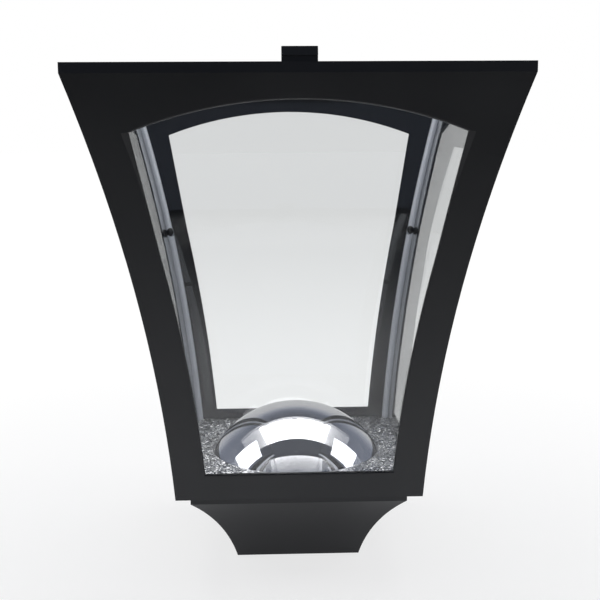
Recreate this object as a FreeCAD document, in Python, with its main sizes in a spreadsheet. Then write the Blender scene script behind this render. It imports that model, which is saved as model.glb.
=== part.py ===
# Lantern head of a solar lamp post. Four flared side frames with arched, glazed windows stand on a
# base plate. A mirror dome on a silver tray throws the light outwards, and a coved collar below
# takes a round post. Millimetres, +Z up, origin at the centre of the collar's bottom, front at -Y.
import FreeCAD, Part
import Sketcher
import math
import os

Vector = FreeCAD.Vector
Placement = FreeCAD.Placement
Rotation = FreeCAD.Rotation

# Driving dimensions
SIZES = (
    # Collar and post socket
    ("post_diameter", 60.0),
    ("post_clearance", 0.3),
    ("sleeve_wall", 2.2),
    ("sleeve_flange_thickness", 3.0),
    ("sleeve_foot_gap", 1.0),
    ("collar_base_width", 70.0),
    ("collar_top_width", 119.0),
    ("collar_height", 45.5),
    ("collar_lip", 5.2),
    ("cove_radius", 85.0),
    ("collar_wall", 3.0),
    ("collar_floor", 4.0),
    ("pillar_diameter", 9.0),
    ("pillar_length", 16.0),
    ("pillar_inset", 1.6),
    # Clamp screws
    ("clamp_level", 14.0),
    ("clamp_boss_diameter", 14.0),
    ("clamp_screw_diameter", 6.0),
    ("clamp_screw_length", 7.0),
    ("clamp_screw_setback", 0.5),
    ("clamp_socket_width", 3.0),
    ("clamp_socket_depth", 3.0),
    ("clamp_point_bevel", 0.8),
    ("insert_diameter", 9.0),
    ("insert_length", 4.0),
    # Flared side frames
    ("frame_base_width", 134.0),
    ("rim_width", 222.0),
    ("flare_height", 222.5),
    ("flare_radius", 940.0),
    ("rim_lip", 5.0),
    ("rim_thickness", 3.2),
    ("frame_wall", 2.4),
    ("flange_width", 9.0),
    ("flange_thickness", 3.0),
    # Arched windows
    ("window_sill", 14.5),
    ("window_top_margin", 12.0),
    ("window_rise", 16.5),
    ("window_margin", 17.6),
    ("window_round", 0.8),
    ("splay_width", 3.5),
    ("splay_length", 60.0),
    ("splay_land", 0.6),
    # Glazing
    ("glazing_gap", 0.2),
    ("pane_thickness", 2.0),
    ("pane_drop", 10.0),
    ("bead_width", 5.4),
    ("bead_round", 3.2),
    ("rivet_drop", 62.0),
    ("rivet_head_diameter", 5.6),
    ("rivet_head_height", 1.6),
    ("rivet_shank_diameter", 2.4),
    ("rivet_recess", 1.5),
    ("rivet_grip", 1.4),
    # Base plate, tray and dome
    ("base_plate_thickness", 3.0),
    ("tray_thickness", 2.5),
    ("dome_diameter", 99.0),
    ("dome_rise", 27.0),
    ("dome_wall", 1.5),
    ("dome_flange_width", 4.0),
    ("dome_flange_thickness", 1.5),
    # Screws inside
    ("frame_screw_spacing", 72.0),
    ("frame_screw_diameter", 3.0),
    ("frame_screw_head", 5.6),
    ("frame_screw_length", 5.6),
    ("collar_screw_diameter", 4.0),
    ("collar_screw_head", 7.0),
    ("collar_screw_length", 16.0),
    # Roof catches
    ("catch_width", 17.0),
    ("catch_reach", 7.0),
    ("catch_thickness", 1.6),
    ("catch_setback", 1.2),
    ("catch_hook_height", 4.2),
    ("catch_corner_round", 0.4),
    ("catch_side_gap", 0.7),
    # Clearances between pieces
    ("fit_gap", 0.3),
    ("screw_gap", 0.1),
    ("pivot_gap", 0.06),
)

# Sizes that follow from the driving ones. A hollow curve (the flare of the frames and the cove of
# the collar) is an arc through its lower and upper end, with its centre outside the lantern.
WORKED = (
    ("foot_half", "Sizes.frame_base_width / 2"),
    ("rim_half", "Sizes.rim_width / 2"),
    ("flare_top", "Sizes.collar_height + Sizes.flare_height"),
    ("rim_top", "flare_top + Sizes.rim_lip"),
    ("beyond", "2 * rim_top"),
    ("flare_chord", "sqrt((rim_half - foot_half)^2 + Sizes.flare_height^2)"),
    ("flare_reach", "sqrt(Sizes.flare_radius^2 - (flare_chord / 2)^2)"),
    ("flare_out", "(foot_half + rim_half) / 2 + flare_reach * Sizes.flare_height / flare_chord"),
    ("flare_level", "Sizes.collar_height + Sizes.flare_height / 2"
                    " - flare_reach * (rim_half - foot_half) / flare_chord"),
    ("collar_base_half", "Sizes.collar_base_width / 2"),
    ("collar_top_half", "Sizes.collar_top_width / 2"),
    ("cove_top", "Sizes.collar_height - Sizes.collar_lip"),
    ("cove_chord", "sqrt((collar_top_half - collar_base_half)^2 + cove_top^2)"),
    ("cove_reach", "sqrt(Sizes.cove_radius^2 - (cove_chord / 2)^2)"),
    ("cove_out", "(collar_base_half + collar_top_half) / 2 + cove_reach * cove_top / cove_chord"),
    ("cove_level", "cove_top / 2 - cove_reach * (collar_top_half - collar_base_half) / cove_chord"),
    ("ledge", "Sizes.collar_height - Sizes.sleeve_flange_thickness"),
    ("pillar_foot", "ledge - Sizes.pillar_length"),
    ("pillar_half", "cove_out - Sizes.pillar_inset"
                    " - sqrt((Sizes.cove_radius + Sizes.collar_wall)^2 - (pillar_foot - cove_level)^2)"),
    ("bore_radius", "Sizes.post_diameter / 2 + Sizes.post_clearance"),
    ("sleeve_radius", "bore_radius + Sizes.sleeve_wall"),
    ("plate_top", "Sizes.collar_height + Sizes.base_plate_thickness"),
    ("tray_seat", "plate_top + Sizes.flange_thickness"),
    ("tray_top", "tray_seat + Sizes.tray_thickness"),
    ("pane_top", "rim_top - Sizes.pane_drop"),
    ("pane_depth", "Sizes.frame_wall + Sizes.glazing_gap"),
    ("bead_depth", "pane_depth + Sizes.bead_width"),
    ("sill_level", "Sizes.collar_height + Sizes.window_sill"),
    ("crown_level", "flare_top - Sizes.window_top_margin"),
    ("spring_level", "crown_level - Sizes.window_rise"),
    ("splay_level", "spring_level - Sizes.splay_length"),
    ("arch_half", "flare_out - Sizes.window_margin"
                  " - sqrt(Sizes.flare_radius^2 - (spring_level - flare_level)^2)"),
    ("arch_radius", "(arch_half^2 + Sizes.window_rise^2) / (2 * Sizes.window_rise)"),
    ("splay_half", "arch_half - Sizes.splay_width"),
    ("splay_top", "crown_level - arch_radius + sqrt(arch_radius^2 - splay_half^2)"),
    ("splay_face", "flare_out - sqrt(Sizes.flare_radius^2 - (splay_top - flare_level)^2)"),
    ("splay_back", "flare_out + Sizes.splay_land"
                   " - sqrt((Sizes.flare_radius + Sizes.frame_wall)^2 - (splay_top - flare_level)^2)"),
    ("splay_slope", "Sizes.splay_width / (splay_face - splay_back)"),
    ("splay_top_start", "arch_half - splay_slope * splay_face"),
    ("splay_low_face", "flare_out - sqrt(Sizes.flare_radius^2 - (splay_level - flare_level)^2)"),
    ("splay_low_start", "splay_low_face - Sizes.window_margin - splay_slope * splay_low_face"),
    ("splay_foot", "splay_level - Sizes.splay_width"),
    ("splay_foot_start", "splay_low_start - (splay_top_start - splay_low_start)"
                         " * Sizes.splay_width / (splay_top - splay_level)"),
    ("rivet_height", "spring_level - Sizes.rivet_drop"),
    ("dome_edge", "Sizes.dome_diameter / 2"),
    ("dome_radius", "(dome_edge^2 + Sizes.dome_rise^2) / (2 * Sizes.dome_rise)"),
    ("dome_centre", "tray_top + Sizes.dome_rise - dome_radius"),
    ("catch_axis_out", "rim_half - Sizes.catch_setback - Sizes.catch_thickness / 2"),
)

SIDES = (("front", 0), ("right", 90), ("rear", 180), ("left", 270))
CORNERS = (("front_right", 0), ("rear_right", 90), ("rear_left", 180), ("front_left", 270))
SIDES_WITH_CATCH = ("front", "rear")
DIAGONAL = 45
COUNTERSINK_ANGLE = 90
TOLERANCE = 0.01
UP = Vector(0, 0, 1)

doc = FreeCAD.newDocument("lantern_head")


# Sheets

def fill_sheet(name, rows, prefix):
    """A sheet with a name and a value on each row, the value's cell aliased to the name."""
    sheet = doc.addObject("Spreadsheet::Sheet", name)
    for row, (alias, content) in enumerate(rows, start=1):
        sheet.set(f"A{row}", alias)
        sheet.set(f"B{row}", prefix + str(content))
        sheet.setAlias(f"B{row}", alias)
    doc.recompute()
    return sheet


sizes = fill_sheet("Sizes", SIZES, "")
worked = fill_sheet("Worked", WORKED, "=")


def value(text):
    """The number that an expression on the sheets gives."""
    return float(worked.evalExpression(text))


def hollow(kind, level, depth="0"):
    """Distance from the lantern's middle to a hollow curve at a level, a depth inside its face."""
    return (f"(Worked.{kind}_out - sqrt((Sizes.{kind}_radius + {depth})^2"
            f" - ({level} - Worked.{kind}_level)^2))")


# Sketch helpers

def new_body(name):
    """An empty body under a name."""
    body = doc.addObject("PartDesign::Body", name)
    body.Label = name
    return body


def turn_body(body, degrees):
    """Turns a body about the lantern's upright axis."""
    body.Placement = Placement(Vector(), Rotation(UP, degrees))
    return body


def add_sketch(body, plane, lift=None, swing=0):
    """A sketch on one of the body's planes, lifted along its normal or swung about its upright."""
    sketch = body.newObject("Sketcher::SketchObject", f"{body.Name}_sketch")
    support = next(item for item in body.Origin.OriginFeatures if item.Role == plane)
    sketch.AttachmentSupport = (support, "")
    sketch.MapMode = "FlatFace"
    sketch.AttachmentOffset = Placement(Vector(), Rotation(Vector(0, 1, 0), swing))
    if lift is not None:
        sketch.setExpression("AttachmentOffset.Base.z", lift)
    return sketch


def bind(sketch, kind, where, text):
    """A dimension of the sketch that follows an expression."""
    number = sketch.addConstraint(Sketcher.Constraint(kind, *where, value(text)))
    sketch.setExpression(f"Constraints[{number}]", text)


def arc_between(start, end, radius, side):
    """The short arc between two points, its centre on the left (1) or right (-1) of the way."""
    middle = (start + end) * 0.5
    way = end - start
    left = Vector(-way.y, way.x, 0).normalize()
    centre = middle + left * side * math.sqrt(radius ** 2 - (way.Length / 2) ** 2)
    crown = centre + (middle - centre).normalize() * radius
    return Part.Arc(start, crown, end)


def draw_outline(sketch, corners):
    """A closed outline. A corner is (x, y), or (x, y, radius, side) where an arc leaves it."""
    places = [Vector(value(corner[0]), value(corner[1]), 0) for corner in corners]
    ends = []
    for index, corner in enumerate(corners):
        start = places[index]
        end = places[(index + 1) % len(places)]
        if len(corner) == 2:
            edge = sketch.addGeometry(Part.LineSegment(start, end))
        else:
            edge = sketch.addGeometry(arc_between(start, end, value(corner[2]), corner[3]))
            bind(sketch, "Radius", (edge,), corner[2])
        forward = (sketch.getPoint(edge, 1) - start).Length < (sketch.getPoint(edge, 2) - start).Length
        ends.append((edge, 1, 2) if forward else (edge, 2, 1))
    for index, corner in enumerate(corners):
        edge, first, last = ends[index]
        following, next_first, next_last = ends[(index + 1) % len(ends)]
        sketch.addConstraint(Sketcher.Constraint("Coincident", edge, last, following, next_first))
        bind(sketch, "DistanceX", (-1, 1, edge, first), corner[0])
        bind(sketch, "DistanceY", (-1, 1, edge, first), corner[1])


def draw_circle(sketch, x, y, radius):
    """A circle with its centre and radius bound."""
    circle = Part.Circle(Vector(value(x), value(y), 0), UP, value(radius))
    edge = sketch.addGeometry(circle)
    bind(sketch, "Radius", (edge,), radius)
    bind(sketch, "DistanceX", (-1, 1, edge, 3), x)
    bind(sketch, "DistanceY", (-1, 1, edge, 3), y)


def draw_rectangle(sketch, left, bottom, right, top):
    """A rectangle between two bound corners."""
    draw_outline(sketch, [(left, bottom), (right, bottom), (right, top), (left, top)])


def negative(text):
    """The expression with its sign turned."""
    return f"-({text})"


# Feature helpers

def pad(body, sketch, length, symmetric=False):
    """Thickens a sketch into the body."""
    feature = body.newObject("PartDesign::Pad", f"{body.Name}_pad")
    feature.Profile = sketch
    feature.setExpression("Length", length)
    feature.SideType = "Symmetric" if symmetric else "One side"
    doc.recompute()
    return feature


def pocket(body, sketch, length=None, reverse=False, both_ways=False):
    """Cuts a sketch out of the body: right through, for a length one way or half of it both ways."""
    before = body.Shape.Volume
    feature = body.newObject("PartDesign::Pocket", f"{body.Name}_pocket")
    feature.Profile = sketch
    if length is None:
        feature.Type = "ThroughAll"
        feature.SideType = "Symmetric"
    else:
        feature.setExpression("Length", length)
        feature.Reversed = reverse
        feature.SideType = "Symmetric" if both_ways else "One side"
    doc.recompute()
    if body.Shape.Volume >= before:
        raise ValueError(f"a cut in {body.Label} takes nothing away")
    return feature


def tapered_cut(body, lower, upper):
    """Cuts out what lies between two sketches at different levels."""
    before = body.Shape.Volume
    feature = body.newObject("PartDesign::SubtractiveLoft", f"{body.Name}_taper")
    feature.Profile = lower
    feature.Sections = [upper]
    feature.Ruled = True
    doc.recompute()
    if body.Shape.Volume >= before:
        raise ValueError(f"a tapered cut in {body.Label} takes nothing away")
    return feature


def revolve(body, sketch, axis):
    """Turns a sketch about one of its own axes."""
    feature = body.newObject("PartDesign::Revolution", f"{body.Name}_revolution")
    feature.Profile = sketch
    feature.ReferenceAxis = (sketch, [axis])
    doc.recompute()
    return feature


def round_edges(body, base, edges, radius):
    """Rounds the named edges of a feature."""
    feature = body.newObject("PartDesign::Fillet", f"{body.Name}_round")
    feature.Base = (base, edges)
    feature.setExpression("Radius", radius)
    doc.recompute()
    return feature


# Side frames

def frame_section(sketch):
    """Upright section of the front frame: flared wall, upright lip and the flange at its foot."""
    foot = "Sizes.collar_height"
    inner_rim = "(Worked.rim_half - Sizes.rim_thickness)"
    inner_radius = "Sizes.flare_radius + Sizes.frame_wall"
    inner_top = (f"Worked.flare_level + sqrt(({inner_radius})^2"
                 f" - (Worked.flare_out - {inner_rim})^2)")
    wall_at_seat = hollow("flare", "Worked.tray_seat", "Sizes.frame_wall")
    wall_at_plate = hollow("flare", "Worked.plate_top", "Sizes.frame_wall")
    flange_edge = f"{wall_at_seat} - Sizes.flange_width"
    draw_outline(sketch, [
        (negative("Worked.foot_half"), foot, "Sizes.flare_radius", 1),
        (negative("Worked.rim_half"), "Worked.flare_top"),
        (negative("Worked.rim_half"), "Worked.rim_top"),
        (negative(inner_rim), "Worked.rim_top"),
        (negative(inner_rim), inner_top, inner_radius, -1),
        (negative(wall_at_seat), "Worked.tray_seat"),
        (negative(flange_edge), "Worked.tray_seat"),
        (negative(flange_edge), "Worked.plate_top"),
        (negative(wall_at_plate), "Worked.plate_top", inner_radius, -1),
        (negative(hollow("flare", foot, "Sizes.frame_wall")), foot),
    ])


def outside_front_wedge(sketch):
    """Plan of all that lies outside the front quarter, so that the frames meet in mitres."""
    far = "Worked.beyond"
    draw_outline(sketch, [
        ("0", "0"),
        (far, negative(far)),
        (far, far),
        (negative(far), far),
        (negative(far), negative(far)),
    ])


def window_half(level):
    """Half the window's width on the outer face: its sides run beside the frame's own corners."""
    return f"({hollow('flare', level)} - Sizes.window_margin)"


def window_outline(sketch):
    """Arched window, a little narrower at its top corners than the splayed outer edge."""
    sill_half = window_half("Worked.sill_level")
    kink_half = window_half("Worked.splay_level")
    draw_outline(sketch, [
        (negative(sill_half), "Worked.sill_level"),
        (sill_half, "Worked.sill_level", "Sizes.flare_radius", -1),
        (kink_half, "Worked.splay_level"),
        ("Worked.splay_half", "Worked.splay_top", "Worked.arch_radius", 1),
        (negative("Worked.splay_half"), "Worked.splay_top"),
        (negative(kink_half), "Worked.splay_level", "Sizes.flare_radius", -1),
    ])


def splay_section(sketch, level, start, sign):
    """Plan of a splay cut at a level: all that lies on the window's side of the splay's flat face."""
    prefix = "-" if sign < 0 else ""
    clear = "Sizes.frame_wall"
    near = f"({hollow('flare', level)} - 2 * {clear})"
    far = f"({hollow('flare', level)} + {clear})"
    near_half = f"{start} + Worked.splay_slope * {near}"
    far_half = f"{start} + Worked.splay_slope * {far}"
    draw_outline(sketch, [
        (f"{prefix}({near_half})", negative(near)),
        (f"{prefix}({far_half})", negative(far)),
        (f"{prefix}({near_half} - {clear})", negative(far)),
        (f"{prefix}({near_half} - {clear})", negative(near)),
    ])


def splay_top_corners(body):
    """Splays the upper part of the window's side edges, from nothing to the splay's full width."""
    for sign in (-1, 1):
        lower = add_sketch(body, "XY_Plane", lift="Worked.splay_foot")
        splay_section(lower, "Worked.splay_foot", "Worked.splay_foot_start", sign)
        upper = add_sketch(body, "XY_Plane", lift="Worked.splay_top")
        splay_section(upper, "Worked.splay_top", "Worked.splay_top_start", sign)
        tapered_cut(body, lower, upper)


def window_edges(shape):
    """Names of the edges round the window on the frame's outer face."""
    names = []
    for number, edge in enumerate(shape.Edges, start=1):
        spot = edge.valueAt((edge.FirstParameter + edge.LastParameter) / 2)
        reach = math.hypot(spot.y + value("Worked.flare_out"), spot.z - value("Worked.flare_level"))
        on_outer_face = abs(reach - value("Sizes.flare_radius")) < TOLERANCE
        above_foot = spot.z > value("Sizes.collar_height") + TOLERANCE
        below_lip = spot.z < value("Worked.flare_top") - TOLERANCE
        within_corners = abs(spot.x) < -spot.y - TOLERANCE
        if on_outer_face and above_foot and below_lip and within_corners:
            names.append(f"Edge{number}")
    return names


def rivet_distance(depth):
    """How far from the lantern's axis a corner lies at the rivets' level, along the diagonal."""
    return f"sqrt(2) * {hollow('flare', 'Worked.rivet_height', depth)}"


def rivet_tip():
    """How far from the lantern's axis the rivets' tips lie."""
    return f"{rivet_distance('Sizes.frame_wall')} + Sizes.rivet_grip"


def make_side_frame(side, turn):
    """One flared frame with its arched window, mitred ends, flange and catch notch."""
    body = new_body(f"side_frame_{side}")
    section = add_sketch(body, "YZ_Plane")
    frame_section(section)
    pad(body, section, "Sizes.rim_width", symmetric=True)

    window = add_sketch(body, "XZ_Plane")
    window_outline(window)
    opening = pocket(body, window)
    round_edges(body, opening, window_edges(opening.Shape), "Sizes.window_round")
    splay_top_corners(body)

    wedge = add_sketch(body, "XY_Plane")
    outside_front_wedge(wedge)
    pocket(body, wedge)

    for swing in (-DIAGONAL, DIAGONAL):
        rivet_hole = add_sketch(body, "XZ_Plane", swing=swing)
        draw_circle(rivet_hole, "0", "Worked.rivet_height",
                    "Sizes.rivet_shank_diameter / 2 + Sizes.screw_gap")
        pocket(body, rivet_hole, f"{rivet_tip()} + Sizes.screw_gap", reverse=True)

    screw_holes = add_sketch(body, "XY_Plane", lift="Worked.tray_seat")
    for sign in ("-", ""):
        draw_circle(screw_holes, f"{sign}Sizes.frame_screw_spacing / 2", negative(frame_screw_out()),
                    "Sizes.frame_screw_diameter / 2 + Sizes.screw_gap")
    add_countersunk_holes(body, screw_holes, "frame_screw")

    if side in SIDES_WITH_CATCH:
        add_catch_notch(body)
    return turn_body(body, turn)


def frame_screw_out():
    """Distance of the frame screws from the lantern's middle: half-way across the flange."""
    return f"{hollow('flare', 'Worked.tray_seat', 'Sizes.frame_wall')} - Sizes.flange_width / 2"


def add_countersunk_holes(body, sketch, screw):
    """Countersunk clearance holes for one kind of screw."""
    hole = body.newObject("PartDesign::Hole", f"{body.Name}_holes")
    hole.Profile = sketch
    doc.recompute()
    hole.ThreadType = "None"
    hole.DepthType = "ThroughAll"
    hole.HoleCutType = "Countersink"
    hole.HoleCutCustomValues = True
    hole.setExpression("Diameter", f"Sizes.{screw}_diameter + 2 * Sizes.screw_gap")
    hole.setExpression("HoleCutDiameter", f"Sizes.{screw}_head + 2 * Sizes.screw_gap")
    hole.HoleCutCountersinkAngle = COUNTERSINK_ANGLE
    doc.recompute()


def add_catch_notch(body):
    """Notch behind the rim's outer skin for a catch, with a round groove in its floor for the root."""
    half = "Sizes.catch_width / 2 + Sizes.catch_side_gap"
    skin_back = "Worked.catch_axis_out + Sizes.catch_thickness / 2 + Sizes.fit_gap"
    inside = "Worked.rim_half - 2 * Sizes.rim_thickness"
    notch = add_sketch(body, "YZ_Plane")
    draw_rectangle(notch, negative(skin_back), "Worked.flare_top",
                   negative(inside), "Worked.rim_top + Sizes.rim_lip")
    pocket(body, notch, f"2 * ({half})", both_ways=True)
    groove = add_sketch(body, "YZ_Plane")
    draw_circle(groove, negative("Worked.catch_axis_out"), "Worked.flare_top",
                "Sizes.catch_thickness / 2 + Sizes.pivot_gap")
    pocket(body, groove, f"2 * ({half})", both_ways=True)


# Glazing

def flared_strip(sketch, near, far, bottom, top, sign):
    """A strip that follows the flare, between two depths inside the frames' outer faces."""
    prefix = "-" if sign < 0 else ""
    draw_outline(sketch, [
        (f"{prefix}{hollow('flare', bottom, near)}", bottom, f"Sizes.flare_radius + {near}", -sign),
        (f"{prefix}{hollow('flare', top, near)}", top),
        (f"{prefix}{hollow('flare', top, far)}", top, f"Sizes.flare_radius + {far}", sign),
        (f"{prefix}{hollow('flare', bottom, far)}", bottom),
    ])


def make_clear_pane(side, turn):
    """A curved clear sheet behind a frame, between the corner beads."""
    body = new_body(f"clear_pane_{side}")
    section = add_sketch(body, "YZ_Plane")
    flared_strip(section, "Worked.pane_depth", "(Worked.pane_depth + Sizes.pane_thickness)",
                 "Worked.tray_top", "Worked.pane_top", -1)
    pad(body, section, "Sizes.rim_width", symmetric=True)

    edge_depth = "(Worked.bead_depth + Sizes.glazing_gap)"
    edge_radius = f"Sizes.flare_radius + {edge_depth}"
    low_half = hollow("flare", "Worked.tray_top", edge_depth)
    high_half = hollow("flare", "Worked.pane_top", edge_depth)
    trim = add_sketch(body, "XZ_Plane")
    draw_rectangle(trim, "-Worked.beyond", "-Worked.beyond", "Worked.beyond", "Worked.beyond")
    draw_outline(trim, [
        (negative(low_half), "Worked.tray_top"),
        (low_half, "Worked.tray_top", edge_radius, -1),
        (high_half, "Worked.pane_top"),
        (negative(high_half), "Worked.pane_top", edge_radius, -1),
    ])
    pocket(body, trim)
    return turn_body(body, turn)


def inner_bead_edge(shape):
    """Name of the bead's long edge that is nearest to the lantern's axis."""
    def reach(numbered):
        edge = numbered[1]
        spot = edge.valueAt((edge.FirstParameter + edge.LastParameter) / 2)
        return math.hypot(spot.x, spot.y)
    middle = (value("Worked.tray_top") + value("Worked.pane_top")) / 2
    upright = [(number, edge) for number, edge in enumerate(shape.Edges, start=1)
               if edge.BoundBox.ZMin < middle < edge.BoundBox.ZMax]
    return f"Edge{min(upright, key=reach)[0]}"


def rivet_seat():
    """How far from the lantern's axis the rivets' heads sit, sunk in the beads' round faces."""
    return (f"{rivet_distance('Worked.bead_depth')} + (sqrt(2) - 1) * Sizes.bead_round"
            " + Sizes.rivet_recess")


def make_corner_bead(corner, turn):
    """A clear bead that fills an inner corner between two panes, bored for its rivet."""
    body = new_body(f"corner_bead_{corner}")
    section = add_sketch(body, "YZ_Plane")
    flared_strip(section, "Worked.pane_depth", "Worked.bead_depth",
                 "Worked.tray_top", "Worked.pane_top", -1)
    pad(body, section, "Sizes.rim_width", symmetric=True)

    trim = add_sketch(body, "XZ_Plane")
    draw_rectangle(trim, "-Worked.beyond", "-Worked.beyond", "Worked.beyond", "Worked.beyond")
    flared_strip(trim, "Worked.pane_depth", "Worked.bead_depth",
                 "Worked.tray_top", "Worked.pane_top", 1)
    column = pocket(body, trim)
    round_edges(body, column, [inner_bead_edge(column.Shape)], "Sizes.bead_round")

    seat = add_sketch(body, "XZ_Plane", swing=DIAGONAL)
    draw_circle(seat, "0", "Worked.rivet_height", "Sizes.rivet_head_diameter / 2 + Sizes.screw_gap")
    pocket(body, seat, rivet_seat(), reverse=True)
    bore = add_sketch(body, "XZ_Plane", swing=DIAGONAL)
    draw_circle(bore, "0", "Worked.rivet_height",
                "Sizes.rivet_shank_diameter / 2 + Sizes.screw_gap")
    pocket(body, bore)
    return turn_body(body, turn)


def make_corner_rivet(corner, turn):
    """A push rivet with a domed head, pointing outwards along the diagonal."""
    body = new_body(f"rivet_{corner}")
    half = add_sketch(body, "XZ_Plane")
    head = "Sizes.rivet_head_diameter / 2"
    shank = "Sizes.rivet_shank_diameter / 2"
    crown = f"{rivet_seat()} - Sizes.rivet_head_height"
    crown_radius = f"(({head})^2 + Sizes.rivet_head_height^2) / (2 * Sizes.rivet_head_height)"
    draw_outline(half, [
        (crown, "0"),
        (rivet_tip(), "0"),
        (rivet_tip(), shank),
        (rivet_seat(), shank),
        (rivet_seat(), head, crown_radius, 1),
    ])
    revolve(body, half, "H_Axis")
    body.Placement = Placement(Vector(), Rotation(UP, turn - DIAGONAL))
    body.setExpression("Placement.Base.z", "Worked.rivet_height")
    return body


# Base plate, tray and dome

def make_base_plate():
    """Square plate that the frames' flanges, the dome and the collar are fixed to."""
    body = new_body("base_plate")
    half = f"{hollow('flare', 'Sizes.collar_height', 'Sizes.frame_wall')} - Sizes.fit_gap"
    plan = add_sketch(body, "XY_Plane", lift="Sizes.collar_height")
    draw_rectangle(plan, negative(half), negative(half), half, half)
    for x, y in frame_screw_places():
        draw_circle(plan, x, y, "Sizes.frame_screw_diameter / 2 + Sizes.screw_gap")
    pad(body, plan, "Sizes.base_plate_thickness")

    screw_holes = add_sketch(body, "XY_Plane", lift="Worked.plate_top")
    for x, y in pillar_places():
        draw_circle(screw_holes, x, y, "Sizes.collar_screw_diameter / 2 + Sizes.screw_gap")
    add_countersunk_holes(body, screw_holes, "collar_screw")
    return body


def pillar_places():
    """Plan places of the collar's four screw pillars."""
    half = "Worked.pillar_half"
    return [(f"{across}{half}", f"{along}{half}") for across in ("", "-") for along in ("", "-")]


def frame_screw_places():
    """Plan places of the eight frame screws, two on each side."""
    along = "Sizes.frame_screw_spacing / 2"
    places = []
    for place in (along, negative(along)):
        for out in (frame_screw_out(), negative(frame_screw_out())):
            places.append((place, out))
            places.append((out, place))
    return places


def make_reflector_tray():
    """Silver floor that lies on the frames' flanges and goes round the dome."""
    body = new_body("reflector_tray")
    half = f"{hollow('flare', 'Worked.tray_seat', 'Sizes.frame_wall')} - Sizes.fit_gap"
    plan = add_sketch(body, "XY_Plane", lift="Worked.tray_seat")
    draw_rectangle(plan, negative(half), negative(half), half, half)
    draw_circle(plan, "0", "0", "Worked.dome_edge + Sizes.fit_gap")
    pad(body, plan, "Sizes.tray_thickness")
    return body


def make_reflector_dome():
    """Mirror dome: a thin cap on a short skirt, with a flange that the tray holds down."""
    body = new_body("reflector_dome")
    inner_edge = "Worked.dome_edge - Sizes.dome_wall"
    inner_radius = "Worked.dome_radius - Sizes.dome_wall"
    inner_spring = f"Worked.dome_centre + sqrt(({inner_radius})^2 - ({inner_edge})^2)"
    flange_edge = "Worked.dome_edge + Sizes.dome_flange_width"
    flange_top = "Worked.tray_seat - Sizes.glazing_gap"
    flange_under = f"{flange_top} - Sizes.dome_flange_thickness"
    crown = "Worked.tray_top + Sizes.dome_rise"
    half = add_sketch(body, "XZ_Plane")
    draw_outline(half, [
        ("0", crown, "Worked.dome_radius", -1),
        ("Worked.dome_edge", "Worked.tray_top"),
        ("Worked.dome_edge", flange_top),
        (flange_edge, flange_top),
        (flange_edge, flange_under),
        ("Worked.dome_edge", flange_under),
        ("Worked.dome_edge", "Worked.plate_top"),
        (inner_edge, "Worked.plate_top"),
        (inner_edge, inner_spring, inner_radius, 1),
        ("0", f"{crown} - Sizes.dome_wall"),
    ])
    revolve(body, half, "V_Axis")
    return body


# Collar and post sleeve

def cove_outline(sketch):
    """Full width section of the collar's outside: hollow cove under an upright lip."""
    low = "Worked.collar_base_half"
    high = "Worked.collar_top_half"
    draw_outline(sketch, [
        (negative(low), "0"),
        (low, "0", "Sizes.cove_radius", -1),
        (high, "Worked.cove_top"),
        (high, "Sizes.collar_height"),
        (negative(high), "Sizes.collar_height"),
        (negative(high), "Worked.cove_top", "Sizes.cove_radius", -1),
    ])


def core_outline(sketch):
    """Full width section of the collar's hollow, with the ledge for the sleeve's flange."""
    wall = "Sizes.collar_wall"
    radius = f"Sizes.cove_radius + {wall}"
    low = hollow("cove", "Sizes.collar_floor", wall)
    high = hollow("cove", "Worked.cove_top", wall)
    mouth = f"Worked.collar_top_half - {wall}"
    above = "Sizes.collar_height + Sizes.collar_lip"
    draw_outline(sketch, [
        (negative(low), "Sizes.collar_floor"),
        (low, "Sizes.collar_floor", radius, -1),
        (high, "Worked.cove_top"),
        (high, "Worked.ledge"),
        (mouth, "Worked.ledge"),
        (mouth, above),
        (negative(mouth), above),
        (negative(mouth), "Worked.ledge"),
        (negative(high), "Worked.ledge"),
        (negative(high), "Worked.cove_top", radius, -1),
    ])


def four_sided_block(name, outline):
    """A block with the same section from the front and from the side."""
    body = new_body(name)
    front = add_sketch(body, "XZ_Plane")
    outline(front)
    pad(body, front, "Sizes.collar_top_width", symmetric=True)
    flank = add_sketch(body, "YZ_Plane")
    draw_rectangle(flank, "-Worked.beyond", "-Worked.beyond", "Worked.beyond", "Worked.beyond")
    outline(flank)
    pocket(body, flank)
    return body


def cylinder(name, radius, height, x="0", y="0", z="0", along_x=False):
    """A round solid that stands on a point, or lies along X from it."""
    solid = doc.addObject("Part::Cylinder", name)
    if along_x:
        solid.Placement = Placement(Vector(), Rotation(Vector(0, 1, 0), 90))
    solid.setExpression("Radius", radius)
    solid.setExpression("Height", height)
    for axis, text in (("x", x), ("y", y), ("z", z)):
        solid.setExpression(f"Placement.Base.{axis}", text)
    return solid


def joined(name, members):
    """Several solids fused into one."""
    fuse = doc.addObject("Part::MultiFuse", name)
    fuse.Shapes = members
    return fuse


def cut(name, base, tool):
    """One solid less another."""
    result = doc.addObject("Part::Cut", name)
    result.Base = base
    result.Tool = tool
    return result


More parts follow.
